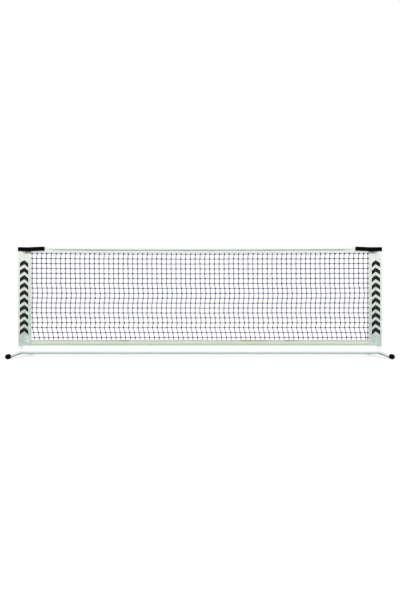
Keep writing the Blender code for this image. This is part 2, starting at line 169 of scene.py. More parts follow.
# ---- Materials ----
class Nodes:
    """Short ways to add nodes to a tree."""

    def __init__(self, tree):
        self.tree = tree

    def connect(self, node, inputs):
        """Links or sets inputs, given by name or place among the node's sockets."""
        for name, value in inputs.items():
            if isinstance(value, bpy.types.NodeSocket):
                self.tree.links.new(value, node.inputs[name])
            else:
                node.inputs[name].default_value = value

    def add(self, kind, inputs, **settings):
        node = self.tree.nodes.new(kind)
        for name, value in settings.items():
            setattr(node, name, value)
        self.connect(node, inputs)
        return node

    def place(self):
        """Metres in the object's own frame."""
        return self.add("ShaderNodeTexCoord", {}).outputs["Object"]

    def lay(self):
        """Metres along and across the piece, as it was cut or spun."""
        return self.add("ShaderNodeUVMap", {}, uv_map="lay").outputs["UV"]

    def axis(self, vector, name):
        return self.add("ShaderNodeSeparateXYZ", {"Vector": vector}).outputs[name]

    def noise(self, vector, scale, detail=3.0, roughness=0.55):
        """Noise from 0 to 1. A scale of three numbers stretches it along X, Y and Z."""
        if isinstance(scale, tuple):
            vector = self.add("ShaderNodeMapping", {"Vector": vector, "Scale": scale}).outputs["Vector"]
            scale = 1.0
        inputs = {"Vector": vector, "Scale": scale, "Detail": detail, "Roughness": roughness}
        return self.add("ShaderNodeTexNoise", inputs).outputs["Fac"]

    def wave(self, vector, pitch, direction):
        """Bands across a direction, pitch apart."""
        inputs = {"Vector": vector, "Scale": math.tau / pitch / 20}
        return self.add("ShaderNodeTexWave", inputs, bands_direction=direction).outputs["Fac"]

    def spread(self, value, low, high, to_low=0.0, to_high=1.0):
        """to_low where value is low, to_high where it is high, even between and held beyond."""
        limits = {"From Min": low, "From Max": high, "To Min": to_low, "To Max": to_high}
        return self.add("ShaderNodeMapRange", {"Value": value, **limits}).outputs["Result"]

    def maths(self, kind, one, two=0.0):
        return self.add("ShaderNodeMath", {0: one, 1: two}, operation=kind).outputs["Value"]

    def times(self, product, *others):
        for other in others:
            product = self.maths("MULTIPLY", product, other)
        return product

    def mix(self, share, one, two):
        """Colour one at share 0, and colour two at share 1."""
        one, two = ((*end, 1.0) if isinstance(end, tuple) else end for end in (one, two))
        return self.add("ShaderNodeMix", {0: share, 6: one, 7: two}, data_type="RGBA").outputs[2]

    def bump(self, height, strength, distance, under=None):
        inputs = {"Height": height, "Strength": strength, "Distance": distance}
        if under is not None:
            inputs["Normal"] = under
        return self.add("ShaderNodeBump", inputs).outputs["Normal"]


class Finish(Nodes):
    """A Principled material and the nodes that feed it."""

    def __init__(self, name, colour, roughness, constants=None):
        self.material = bpy.data.materials.new(name)
        self.material.use_nodes = True
        super().__init__(self.material.node_tree)
        self.shader = self.tree.nodes["Principled BSDF"]
        fixed = {"Base Color": (*colour, 1.0), "Roughness": roughness}
        self.connect(self.shader, {**fixed, **(constants or {})})

    def done(self, colour, normal, rough=None):
        """The material, with what varies over it linked in."""
        self.connect(self.shader, {"Base Color": colour, "Normal": normal})
        if rough is not None:
            self.connect(self.shader, {"Roughness": rough})
        return self.material


def powder_coat():
    """White paint baked on steel: faint orange peel, dust near the floor, scuffs, and painted shade under
    the feet.
    """
    coat = {"Coat Weight": 0.15, "Coat Roughness": 0.3}
    paint = Finish("white_powder_coat", (0.84, 0.86, 0.85), 0.36, coat)
    place = paint.place()
    colour = paint.mix(paint.noise(place, 6.0, 4.0), (0.82, 0.845, 0.83), (0.87, 0.885, 0.875))
    scuffs = paint.spread(paint.noise(place, (30.0, 90.0, 160.0), 5.0, 0.7), 0.66, 0.74)
    colour = paint.mix(paint.times(scuffs, 0.35), colour, (0.50, 0.52, 0.50))
    near_floor = paint.spread(paint.axis(place, "Z"), 0.060, 0.0, 0.0, 0.45)
    dust = paint.times(near_floor, paint.noise(place, 55.0, 5.0, 0.65))
    colour = paint.mix(dust, colour, (0.52, 0.53, 0.50))
    # Painted shade: faces of the feet that point down, away from the hubs, turn nearly black for the shade
    # under them.
    facing = paint.axis(paint.add("ShaderNodeNewGeometry", {}).outputs["Normal"], "Z")
    off_hub = paint.spread(paint.maths("ABSOLUTE", paint.axis(place, "Y")), 0.03, 0.06, 0.0, 0.97)
    dirt = paint.times(paint.spread(facing, 0.0, -0.35), off_hub)
    colour = paint.mix(dirt, colour, (0.035, 0.038, 0.034))
    rough = paint.spread(paint.noise(place, 40.0, 3.0), 0.3, 0.7, 0.30, 0.44)
    rough = paint.maths("MAXIMUM", rough, paint.times(scuffs, 0.6))
    return paint.done(colour, paint.bump(paint.noise(place, 620.0, 2.0), 0.22, 0.0004), rough)


def rubber():
    """Black moulded rubber with a dusty bloom and a faint moulded grain."""
    black = Finish("black_rubber", (0.012, 0.012, 0.014), 0.62, {"Specular IOR Level": 0.03})
    place = black.place()
    bloom = black.spread(black.noise(place, 90.0, 5.0, 0.7), 0.5, 0.85, 0.0, 0.5)
    colour = black.mix(bloom, (0.003, 0.003, 0.006), (0.020, 0.020, 0.021))
    grain = black.bump(black.noise(place, 1500.0, 2.0), 0.35, 0.0003)
    return black.done(colour, grain, black.spread(bloom, 0.0, 0.5, 0.50, 0.80))


def moulded_plastic():
    grey = Finish("grey_plastic", (0.30, 0.31, 0.32), 0.5)
    place = grey.place()
    colour = grey.mix(grey.noise(place, 70.0, 3.0), (0.27, 0.28, 0.29), (0.33, 0.34, 0.35))
    return grey.done(colour, grey.bump(grey.noise(place, 1800.0, 1.0), 0.3, 0.0002))


def steel(name, dark, light, rough):
    """Bare or plated steel, with fine draw marks and a slight change of tone."""
    bare = Finish(name, light, rough, {"Metallic": 1.0})
    place = bare.place()
    marks = bare.noise(place, (300.0, 300.0, 2600.0), 3.0)
    colour = bare.mix(bare.noise(place, 160.0, 4.0), dark, light)
    uneven = bare.spread(marks, 0.3, 0.7, rough - 0.08, rough + 0.12)
    return bare.done(colour, bare.bump(marks, 0.15, 0.0002), uneven)


def weave(cloth, lay, pitch, strength, under):
    """A plain weave over the bumps under it: threads pitch apart both ways."""
    threads = cloth.times(cloth.wave(lay, pitch, "X"), cloth.wave(lay, pitch, "Y"))
    return cloth.bump(threads, strength, pitch / 4, under)


def coated_cloth(name, light, dark, pitch, creases, stain=None):
    """Coated polyester: plain weave under a soft coat, cloudy, and darker along lines by its creases and
    seams.

    creases holds the strip's width, the darker lines' colour, the lines, and how far from the strip's
    ends they fade. A line is its distance from either long edge, its half width and its share of that
    colour.
    stain holds a colour and the two heights that it keeps between.
    """
    width, dirt, lines, fade = creases
    cloth = Finish(name, light, 0.62, {"Sheen Weight": 0.08, "Specular IOR Level": 0.35})
    place, lay = cloth.place(), cloth.lay()
    clouds = cloth.spread(cloth.noise(place, (5.0, 14.0, 22.0), 5.0, 0.6), 0.35, 0.72)
    colour = cloth.mix(clouds, light, dark)
    flecks = cloth.spread(cloth.noise(place, 420.0, 2.0), 0.60, 0.72, 0.0, 0.25)
    colour = cloth.mix(flecks, colour, dark)
    from_edge = cloth.maths("PINGPONG", cloth.axis(lay, "Y"), width / 2)
    worn = cloth.spread(cloth.noise(place, (3.0, 1.0, 1.0), 5.0, 0.65), 0.3, 0.6, 0.55, 1.0)
    out = cloth.maths("ABSOLUTE", cloth.axis(place, "X"))
    worn = cloth.times(worn, cloth.spread(out, BAND_X - fade, BAND_X - 2 * fade, 0.1, 1.0))
    # Darker lines along the strip: painted shade under the headband's channel, and darker lines just past
    # the bottom band's seams.
    for at, half, share in lines:
        off = cloth.maths("ABSOLUTE", cloth.maths("SUBTRACT", from_edge, at))
        line = cloth.times(cloth.spread(off, half, 0.25 * half), worn, share)
        colour = cloth.mix(line, colour, dirt)
    if stain:
        tint, low, high = stain
        height = cloth.axis(place, "Z")
        patches = cloth.spread(cloth.noise(place, (4.2, 1.0, 3.0), 4.0, 0.6), 0.55, 0.68)
        above, below = cloth.spread(height, low - 2 * MM, low), cloth.spread(height, high, high - 2 * MM)
        colour = cloth.mix(cloth.times(patches, above, below), colour, tint)
    crumple = cloth.bump(cloth.noise(place, (40.0, 40.0, 55.0), 4.0, 0.6), 0.25, 0.0015)
    rough = cloth.spread(clouds, 0.0, 1.0, 0.56, 0.70)
    return cloth.done(colour, weave(cloth, lay, pitch, 0.30, crumple), rough)


CHEVRONS = 10
CHEVRON_STROKE = 36.0 * MM
CHEVRON_RISE = 28.0 * MM
PRINT_INNER, PRINT_OUTER = 1.440, 1.506
PRINT_LOW, PRINT_HIGH = 0.212, 0.811
PRINT_EDGE = 0.5 * MM  # half the width over which the ink gives way to cloth
CHEVRON_PITCH = (PRINT_HIGH - PRINT_LOW - CHEVRON_STROKE) / (CHEVRONS - 1)
# The shade under a strap: where it starts, is full, is still full and ends, outwards and up from the strap.
SHADE_OUT = (1.400, 1.418, 1.455, 1.480)
SHADE_UP = (-26 * MM, -8 * MM, 8 * MM, 16 * MM)


def sleeve_cloth():
    """Pale green-white coated cloth, yellower and lighter upwards, with a column of printed chevrons."""
    constants = {"Sheen Weight": 0.04, "Specular IOR Level": 0.15}
    cloth = Finish("sleeve_cloth", (0.74, 0.82, 0.76), 0.58, constants)
    place, lay = cloth.place(), cloth.lay()
    height = cloth.axis(place, "Z")
    out = cloth.maths("ABSOLUTE", cloth.axis(place, "X"))
    colour = cloth.mix(cloth.spread(height, 0.15, 0.85), (0.50, 0.58, 0.54), (0.92, 0.93, 0.90))
    clouds = cloth.spread(cloth.noise(place, (30.0, 30.0, 17.0), 6.0, 0.6), 0.42, 0.66, 0.0, 0.60)
    colour = cloth.mix(clouds, colour, (0.86, 0.90, 0.85))
    green = cloth.spread(cloth.noise(place, (34.0, 34.0, 24.0), 3.0), 0.58, 0.76, 0.0, 0.35)
    colour = cloth.mix(green, colour, (0.60, 0.74, 0.64))
    start_up, full_up, last_up, end_up = (STRAP_LOW + up for up in SHADE_UP)
    start, full, last, end = SHADE_OUT
    shade = cloth.times(
        cloth.spread(height, start_up, full_up),
        cloth.spread(out, end, last),
        cloth.spread(out, start, full, 0.0, 0.9),
        cloth.spread(height, end_up, last_up),
    )
    colour = cloth.mix(shade, colour, (0.20, 0.25, 0.20))
    # Painted highlight: the cloth round the post's outer side turns whiter, for light falling on that side.
    round_post = cloth.spread(out, POST_X + 4 * MM, POST_X + 19 * MM, 0.0, 0.75)
    colour = cloth.mix(round_post, colour, (0.90, 0.92, 0.89))
    half = (PRINT_OUTER - PRINT_INNER) / 2
    off = cloth.maths("ABSOLUTE", cloth.maths("SUBTRACT", out, (PRINT_INNER + PRINT_OUTER) / 2))
    slant = cloth.maths("ADD", height, cloth.times(off, CHEVRON_RISE / half))
    from_first = cloth.maths("SUBTRACT", slant, PRINT_LOW + CHEVRON_STROKE / 2)
    phase = cloth.maths("PINGPONG", from_first, CHEVRON_PITCH / 2)
    ink = cloth.spread(phase, CHEVRON_STROKE / 2 + PRINT_EDGE, CHEVRON_STROKE / 2 - PRINT_EDGE)
    for value, limit, edge in (
        (off, half, -PRINT_EDGE),
        (slant, PRINT_LOW, PRINT_EDGE),
        (slant, PRINT_HIGH, -PRINT_EDGE),
    ):
        ink = cloth.times(ink, cloth.spread(value, limit - edge, limit + edge))
    rubbed = cloth.spread(cloth.noise(place, 240.0, 4.0, 0.7), 0.28, 0.36, 0.93, 1.0)
    colour = cloth.mix(cloth.times(ink, rubbed), colour, (0.006, 0.006, 0.008))
    crumple = cloth.bump(cloth.noise(place, (60.0, 60.0, 48.0), 4.0, 0.6), 0.35, 0.0016)
    rough = cloth.spread(ink, 0.0, 1.0, 0.60, 0.50)
    return cloth.done(colour, weave(cloth, lay, 0.9 * MM, 0.25, crumple), rough)


def webbing_cloth():
    """Black woven strap: a herringbone of thick threads, greyed where it is rubbed."""
    strap = Finish("black_webbing", (0.008, 0.009, 0.010), 0.78, {"Specular IOR Level": 0.012})
    lay = strap.lay()
    fold = strap.maths("PINGPONG", strap.axis(lay, "X"), 2.1 * MM)
    slanted = strap.add("ShaderNodeCombineXYZ", {"X": strap.maths("ADD", fold, strap.axis(lay, "Y"))})
    threads = strap.wave(slanted.outputs["Vector"], 1.1 * MM, "X")
    rubbed = strap.spread(strap.noise(strap.place(), (60.0, 60.0, 140.0), 5.0, 0.7), 0.45, 0.8)
    tone = strap.times(threads, strap.spread(rubbed, 0.0, 1.0, 0.35, 1.0))
    colour = strap.mix(tone, (0.001, 0.0015, 0.002), (0.010, 0.012, 0.013))
    return strap.done(colour, strap.bump(threads, 0.7, 0.0004), strap.spread(rubbed, 0.0, 1.0, 0.66, 0.82))


def pile(name, scale, light):
    """The face of a hook or loop pad."""
    constants = {"Sheen Weight": 0.06, "Specular IOR Level": 0.15}
    pad = Finish(name, (0.012, 0.012, 0.014), 0.85, constants)
    fluff = pad.noise(pad.place(), scale, 5.0, 0.75)
    colour = pad.mix(pad.spread(fluff, 0.35, 0.8), (0.006, 0.006, 0.007), light)
    return pad.done(colour, pad.bump(fluff, 0.8, 0.0006))


def twine(name, dark, light, pitch):
    """Braided polyethylene twine."""
    cord = Finish(name, light, 0.6, {"Specular IOR Level": 0.15})
    lay = cord.lay()
    turn = cord.times(cord.axis(lay, "X"), 3 * math.tau)
    run = cord.times(cord.axis(lay, "Y"), math.tau / pitch)
    left, right = (cord.maths("SINE", cord.maths(way, turn, run)) for way in ("ADD", "SUBTRACT"))
    plait = cord.spread(cord.times(left, right), -1.0, 1.0)
    tone = cord.times(plait, cord.spread(cord.noise(cord.place(), 35.0, 3.0), 0.3, 0.7, 0.6, 1.0))
    rough = cord.spread(plait, 0.0, 1.0, 0.68, 0.48)
    return cord.done(cord.mix(tone, dark, light), cord.bump(plait, 0.6, 0.0004), rough)


def thread(name, dark, light):
    sewn = Finish(name, light, 0.7, {"Sheen Weight": 0.2})
    twist = sewn.noise(sewn.place(), 2400.0, 2.0)
    return sewn.done(sewn.mix(twist, dark, light), sewn.bump(twist, 0.5, 0.0002))


# ---- Mesh helpers ----
def run_along(path):
    """Distance along a path of points, or along each of several, at each point."""
    steps = np.linalg.norm(np.diff(path, axis=-2), axis=-1)
    return np.concatenate([np.zeros_like(steps[..., :1]), np.cumsum(steps, axis=-1)], axis=-1)


def unit(vectors):
    return vectors / np.linalg.norm(vectors, axis=-1, keepdims=True)


def piece(name, points, faces, material, lay):
    """A mesh object from points and a list of arrays of faces. lay has a UV for each corner, or is None."""
    mesh = bpy.data.meshes.new(name)
    mesh.vertices.add(len(points))
    mesh.vertices.foreach_set("co", np.asarray(points, np.float32).ravel())
    corners = np.concatenate([group.ravel() for group in faces]).astype(np.int32)
    sizes = np.concatenate([np.full(len(group), group.shape[1]) for group in faces])
    starts = np.concatenate([[0], np.cumsum(sizes)[:-1]]).astype(np.int32)
    mesh.loops.add(len(corners))
    mesh.loops.foreach_set("vertex_index", corners)
    mesh.polygons.add(len(sizes))
    mesh.polygons.foreach_set("loop_start", starts)
    mesh.update(calc_edges=True)
    if lay is not None:
        layer = mesh.uv_layers.new(name="lay")
        layer.data.foreach_set("uv", np.asarray(lay, np.float32).ravel())
    mesh.validate()
    mesh.shade_smooth()
    mesh.materials.append(material)
    made = linked(name, mesh)
    return made


def ring_faces(count, length, sides, closed=False):
    """Quads between the rings of several tubes, and the caps on their ends, as points' numbers."""
    index = np.arange(count * length * sides).reshape(count, length, sides)
    steps = length if closed else length - 1
    here, there = index[:, :steps], np.roll(index, -1, 1)[:, :steps]
    quads = np.stack([here, np.roll(here, -1, 2), np.roll(there, -1, 2), there], -1)
    return quads.reshape(-1, 4), np.concatenate([index[:, 0, ::-1], index[:, -1]])


def tubes(paths, radii, sides, ref, closed=False, depth=1.0, braid=0.0):
    """Tubes along paths, an array of (tube, point, 3), as points, faces and lay.

    ref is a direction across them, depth scales their thickness along Y, and braid is how far
    their surface goes in and out, in turn, as a share of the radius.
    """
    paths = np.asarray(paths, float)
    count, length = paths.shape[:2]
    ahead = unit(np.roll(paths, -1, 1) - np.roll(paths, 1, 1) if closed else np.gradient(paths, axis=1))
    ref = np.broadcast_to(np.asarray(ref, float), paths.shape)
    across = unit(ref - (ref * ahead).sum(-1, keepdims=True) * ahead)
    other = np.cross(ahead, across)
    angle = np.arange(sides) / sides * math.tau
    ring = across[:, :, None] * np.cos(angle)[:, None] + other[:, :, None] * np.sin(angle)[:, None]
    radii = np.broadcast_to(np.asarray(radii, float), (count, length))[:, :, None]
    swell = 1 + braid * (-1.0) ** (np.arange(length)[:, None] + np.arange(sides)[None, :])
    offset = ring * (radii * swell)[..., None]
    offset[..., 1] *= np.broadcast_to(np.asarray(depth, float), (count, length))[:, :, None]
    points = paths[:, :, None] + offset
    quads, caps = ring_faces(count, length, sides, closed)
    run = run_along(paths)
    run = np.concatenate([run, run[:, -1:] + run[:, 1:2]], axis=1)
    turn = np.arange(sides + 1) / sides
    steps = length if closed else length - 1
    lay = np.zeros((count, steps, sides, 4, 2))
    for corner, (side_step, run_step) in enumerate(((0, 0), (1, 0), (1, 1), (0, 1))):
        lay[..., corner, 0] = turn[side_step:side_step + sides]
        lay[..., corner, 1] = run[:, run_step:run_step + steps, None]
    lay = lay.reshape(-1, 2)
    if closed:
        return points.reshape(-1, 3), [quads], lay
    return points.reshape(-1, 3), [quads, caps], np.concatenate([lay, np.zeros((caps.size, 2))])


def whole(name, parts, material, body=ROOT):
    """Several (points, faces, lay) as one piece that moves with body."""
    points, faces, lays, start = [], [], [], 0
    for some, groups, lay in parts:
        at = 0
        for group in groups:
            faces.append(group + start)
            lays.append(lay[at:at + group.size])
            at += group.size
        points.append(some)
        start += len(some)
    made = piece(name, np.concatenate(points), faces, material, np.concatenate(lays))
    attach(made, body)
    return made


def sheet_piece(name, grid, material, thickness):
    """A sheet of cloth from a grid of points, (row, column, 3), with its real thickness."""
    rows, columns = grid.shape[:2]
    index = np.arange(rows * columns).reshape(rows, columns)
    faces = np.stack([index[:-1, :-1], index[:-1, 1:], index[1:, 1:], index[1:, :-1]], -1).reshape(-1, 4)
    down, over = run_along(grid[:, columns // 2]), run_along(grid[rows // 2])
    flat = np.stack(np.meshgrid(over, down), -1).reshape(-1, 2)
    made = piece(name, grid.reshape(-1, 3), [faces], material, flat[faces.ravel()])
    solid = made.modifiers.new("cloth", "SOLIDIFY")
    solid.thickness = thickness
    solid.offset = 0.0
    return made


def stitches(path, up, length=3.2 * MM, gap=1.6 * MM, radius=0.36 * MM):
    """A row of sewn stitches along a path of points. up is the way out of the cloth at each point."""
    path, up = np.asarray(path, float), np.broadcast_to(np.asarray(up, float), np.shape(path))
    run = run_along(path)
    starts = np.arange(gap / 2, run[-1] - length, length + gap)
    shares = np.array([0.0, 0.28, 0.72, 1.0])
    lift = np.array([-0.5, 0.55, 0.55, -0.5]) * radius
    at = starts[:, None] + shares * length
    line = np.stack([np.interp(at, run, path[:, k]) for k in range(3)], -1)
    out = np.stack([np.interp(at, run, up[:, k]) for k in range(3)], -1)
    thick = np.broadcast_to(radius * np.array([0.45, 1.0, 1.0, 0.45]), at.shape)
    return tubes(line + out * lift[:, None], thick, 4, out)


def ripple(x, seed):
    """Smooth noise along the net, from about -1 to 1."""
    return 2.0 * noise.noise(Vector((x, 7.3 * seed, 0.5)))


TOP_SWAY, LOW_SWAY = 1, 2  # the seeds of how the two bands sway
SWAY = 0.6 * MM
FLAT_FROM, FLAT_OVER = 1.28, 0.12  # where the bands lie flat for the tabs, and how gradually


def calm(x):
    """0 by the straps, where the bands lie flat, and 1 along the rest of the net."""
    return clipped((FLAT_FROM - abs(x)) / FLAT_OVER)


def sway(x, seed):
    """How far a band stands in front of or behind its plane."""
    return SWAY * calm(x) * ripple(4.0 * x, seed)


# ---- Netting ----
MESH_Z = 41.4 * MM
MESH_X = 40.3 * MM
COLUMNS = 71
ROWS = 18
TOP_ROW = 0.8652  # height of the first row of knots
TWINE_R = 2.5 * MM
SEWN_FLAT = 0.45 * MM / TWINE_R  # share of the twine's thickness left between two layers of cloth
SEWN_DEEP = 3 * MM  # how far it goes into the sleeves
STEPS = 6  # points along each side of a mesh
KNOT_REACH = 7.5 * MM  # the end knots stay this far from the sleeves
KNOT_RING = 4.6 * MM
KNOT_R = 2.8 * MM  # the twine looks thicker where it is drawn tight in a knot
KNOT_APART = 4.4 * MM  # height between a knot's two turns
KNOT_TILT = math.radians(30)
KNOT_LEAN = math.radians(24)  # the whole knot leans down to the right
# How far each row hangs to the right, in mm.
ROW_DRIFT = (2.4, -1, -1, 0, 0, 1.5, 0, 5, 8, 6.5, 1, 0, -1, 5, 9, 3.5, 14, 20)
RIPPLE = 2.0 * MM


def slack(x, z):
    """How far the netting stands in front of or behind its plane."""
    share = min(1.0, (BAND_X - abs(x)) / 0.12)
    share *= clipped(min(z - BAND_HIGH, HEADBAND_LOW - z) / 0.1)
    height = clipped((z - BAND_HIGH) / (HEADBAND_LOW - BAND_HIGH))
    edges = sway(x, TOP_SWAY) * height + sway(x, LOW_SWAY) * (1 - height)
    return edges + RIPPLE * share * 2.0 * noise.noise(Vector((x * 2.6, 0.4, z * 3.4)))


def net_knots():
    """The place of each knot, as an array of (row, column, 3)."""
    random = np.random.default_rng(11)
    column = (np.arange(COLUMNS) - (COLUMNS - 1) / 2) * MESH_X
    knots = np.zeros((ROWS, COLUMNS, 3))
    for row in range(ROWS):
        drift = ROW_DRIFT[row] * MM
        height = TOP_ROW - row * MESH_Z
        share = (height - BAND_HIGH) / (HEADBAND_LOW - BAND_HIGH)
        knots[row, :, 0] = column + drift + random.normal(0, 0.5 * MM, COLUMNS)
        knots[row, :, 2] = height + sag(column) * share + random.normal(0, 0.45 * MM, COLUMNS)
        knots[row, :, 1] = [slack(x, height) for x in column]
    knots[..., 0] = knots[..., 0].clip(KNOT_REACH - SLEEVE_EDGE, SLEEVE_EDGE - KNOT_REACH)
    return knots


def strung(ends, bow):
    """Points along a run of twine that goes through knots, with a small bow between each two."""
    parts = []
    for one, two, out in zip(ends[:-1], ends[1:], bow):
        share = np.arange(STEPS)[:, None] / STEPS
        parts.append(one + (two - one) * share + out * np.sin(share * math.pi))
    return np.concatenate([*parts, ends[-1:]])


def cords(paths, held):
    """Braided twine along paths, pressed flat where it is held between two layers of cloth."""
    return tubes(paths, TWINE_R, 6, (0, 1, 0), depth=np.where(held, SEWN_FLAT, 1.0), braid=0.10)


def netting():
    knots = net_knots()
    random = np.random.default_rng(23)
    rows = []
    for row in range(ROWS):
        ends = knots[row, [0, *range(COLUMNS), -1]]
        ends[[0, -1], 0] = -SLEEVE_EDGE - SEWN_DEEP, SLEEVE_EDGE + SEWN_DEEP
        bow = random.normal(0, 0.35 * MM, (len(ends) - 1, 3)) - np.array([0, 0, 0.5 * MM])
        rows.append(strung(ends, bow))
    rows = np.array(rows)
    held = np.abs(rows[..., 0]) > SLEEVE_EDGE - 2 * MM
    blue = twine("twine_blue", (0.016, 0.014, 0.200), (0.062, 0.052, 0.560), 6 * MM)
    across = whole("netting_rows", [cords(rows, held)], blue)
    columns = []
    for column in range(COLUMNS):
        top, low = knots[0, column].copy(), knots[-1, column].copy()
        top += (0, 0, HEADBAND_LOW + 9 * MM - TOP_ROW)
        low[2] = BAND_HIGH - 12 * MM
        low[0] += 0.4 * (knots[-1, column, 0] - knots[-2, column, 0])
        ends = np.concatenate([[top], knots[:, column], [low]])
        bow = random.normal(0, 0.6 * MM, (len(ends) - 1, 3)) * np.array([1, 0.6, 0.2])
        columns.append(strung(ends, bow))
    columns = np.array(columns)
    held = (columns[..., 2] > HEADBAND_LOW - 3 * MM) | (columns[..., 2] < BAND_HIGH + 3 * MM)
    navy = twine("twine_navy", (0.006, 0.006, 0.034), (0.028, 0.028, 0.110), 6 * MM)
    whole("netting_columns", [cords(columns, held)], navy)
    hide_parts("netting")
    tied = twine("twine_knots", (0.003, 0.003, 0.024), (0.014, 0.014, 0.095), 3 * MM)
    for name, side in SIDES:
        mine = knots[(knots[..., 0] > 0) == (side > 0)]
        whole(f"netting_knots_{name}", [knot_mesh(mine, random)], tied)


def knot_mesh(places, random):
    """Sheet bends: two tilted turns of twine round each crossing."""
    turn = np.arange(12) / 12 * math.tau
    rings = []
    for tilt, lift in ((KNOT_TILT, KNOT_APART / 2), (-KNOT_TILT, -KNOT_APART / 2)):
        x, y = KNOT_RING * np.cos(turn), 0.82 * KNOT_RING * np.sin(turn)
        z = lift + x * math.tan(tilt)
        rings.append((np.stack([x, y, z], -1), np.array([-math.sin(tilt), 0.0, math.cos(tilt)])))
    paths, refs = [], []
    leans = KNOT_LEAN + random.normal(0, 0.12, len(places))
    sizes = 1 + random.normal(0, 0.05, len(places))
    for ring, up in rings:
        for place, lean, grow in zip(places, leans, sizes):
            cos, sin = math.cos(lean), math.sin(lean)
            turned = np.array([[cos, 0, sin], [0, 1, 0], [-sin, 0, cos]])
            paths.append(place + ring @ turned.T * grow)
            refs.append(np.broadcast_to(turned @ up, ring.shape))
    return tubes(paths, KNOT_R, 6, np.array(refs), closed=True)


# ---- Bands along the top and the bottom of the netting ----
CLOTH = 0.6 * MM
BAND_STEP = 9 * MM
CREASE = 20.7 * MM  # the seam under the headband's channel
CHANNEL = 2.6 * MM  # how much further the full channel above that seam bulges, clear of the straps
BAND_WAVE = 0.7 * MM  # how far a band's hem goes up and down
BAND_SEAMS = (8.4 * MM, 34.0 * MM)
DIRT_BEYOND = (0.0, 2.5 * MM)  # how far past each of these seams its darker line lies
HEM_POINTS = 4  # the points of each section below that make its turned-in hem
# Front half of each section, as (depth, height from the open edge): the turned-in hem, the face, the fold.
HEADBAND_LINE = MM * np.array((
    (-0.95, 9.0), (-1.0, 4.0), (-1.1, 1.3), (-1.5, 0.35),
    (-1.95, 1.3), (-2.05, 5.0), (-2.0, 10.0), (-1.95, 15.0), (-1.85, 18.2), (-1.35, 20.0), (-1.02, 20.7),
    (-1.3, 21.4), (-1.95, 23.2), (-2.15, 27.0), (-2.15, 34.0), (-2.1, 41.0), (-1.85, 45.5), (-1.25, 48.6),
    (-0.5, 49.6),
))
BOTTOM_LINE = MM * np.array((
    (-0.85, 12.5), (-0.85, 6.0), (-0.9, 1.2), (-1.15, 0.35),
    (-1.45, 1.2), (-1.5, 4.5), (-1.4, 7.4), (-1.1, 8.4), (-1.35, 9.4), (-1.5, 13.0), (-1.55, 20.0),
    (-1.55, 27.0), (-1.4, 32.8), (-1.05, 34.0), (-1.35, 35.2), (-1.5, 40.0), (-1.4, 45.0), (-1.0, 48.6),
    (-0.4, 49.6),
))


def headband_place(x, depth, height):
    hem = 1 - height / (NET_TOP - HEADBAND_LOW)
    lift = sag(x) + 0.5 * MM * ripple(7.0 * x, 3) + BAND_WAVE * hem * ripple(16.0 * x, 4)
    up = clipped((height - CREASE) / (NET_TOP - HEADBAND_LOW - CREASE))
    bulge = CHANNEL * calm(x) * math.sin(up**0.7 * math.pi) ** 0.8
    return x, depth + math.copysign(bulge, depth) + sway(x, TOP_SWAY), HEADBAND_LOW + height + lift


def bottom_place(x, depth, height):
    hem = 1 - height / (BAND_HIGH - BAND_LOW)
    lift = 0.6 * MM * ripple(5.0 * x, 5) + BAND_WAVE * hem * ripple(14.0 * x, 6)
    return x, depth + sway(x, LOW_SWAY), BAND_HIGH - height + lift


def at_height(line, height):
    """The place in half a band's section of the point on its face nearest to a height."""
    return min(range(HEM_POINTS, len(line)), key=lambda i: abs(line[i][1] - height))


def cut_width(line):
    return 2 * run_along(line)[-1] + 2 * abs(line[-1][0])


def band(name, line, place, seams, cloth, sewn):
    """A strip folded over the edge of the netting, sewn through along its seams."""
    section = [*line, *(line[::-1] * (-1, 1))]
    count = round(2 * BAND_X / BAND_STEP)
    stations = np.linspace(-BAND_X, BAND_X, count + 1)
    grid = np.array([[place(x, d, h) for x in stations] for d, h in section])
    if place is bottom_place:  # open at the top, so its faces have to be turned outwards
        grid = grid[::-1]
    strip = sheet_piece(f"{name}_cloth", grid, cloth, CLOTH)
    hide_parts(name)
    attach(strip, ROOT)
    parts = []
    for seam in seams:
        near = line[at_height(line, seam)][0]
        for side in (1, -1):
            path = [place(x, side * (near - CLOTH / 2), seam) for x in stations]
            parts.append(stitches(path, (0, -side, 0)))
    rows = whole(f"{name}_stitching", parts, sewn)
    flat = (cut_width(line), 2 * BAND_X)


def dirt_line(line, seam, beyond, half, share):
    """A darker line, for coated_cloth, somewhat past a seam of a band."""
    return run_along(line)[at_height(line, seam)] + beyond, half, share


def bands():
    # Painted shade: a soft dark band just under the crease, for the shade under the channel's bulge.
    lines = [dirt_line(HEADBAND_LINE, CREASE, 2.0 * MM, 8.0 * MM, 1.0)]
    creases = (cut_width(HEADBAND_LINE), (0.24, 0.335, 0.27), lines, 0.12)
    cloth = coated_cloth("white_band_cloth", (0.95, 0.96, 0.93), (0.89, 0.92, 0.87), 0.8 * MM, creases)
    sewn = thread("white_thread", (0.50, 0.53, 0.48), (0.74, 0.77, 0.70))
    seams = (5.0 * MM, CREASE)
    band("headband", HEADBAND_LINE, headband_place, seams, cloth, sewn)
    lines = [dirt_line(BOTTOM_LINE, *pair, 4.5 * MM, 0.9) for pair in zip(BAND_SEAMS, DIRT_BEYOND)]
    creases = (cut_width(BOTTOM_LINE), (0.24, 0.28, 0.18), lines, 0.002)
    stain = ((0.30, 0.28, 0.13), BAND_HIGH - 12 * MM, BAND_HIGH - 1 * MM)
    tones = (0.79, 0.83, 0.75), (0.69, 0.74, 0.64)
    cloth = coated_cloth("cream_band_cloth", *tones, 1.1 * MM, creases, stain)
    sewn = thread("cream_thread", (0.34, 0.36, 0.26), (0.56, 0.58, 0.44))
    band("bottom_band", BOTTOM_LINE, bottom_place, BAND_SEAMS, cloth, sewn)


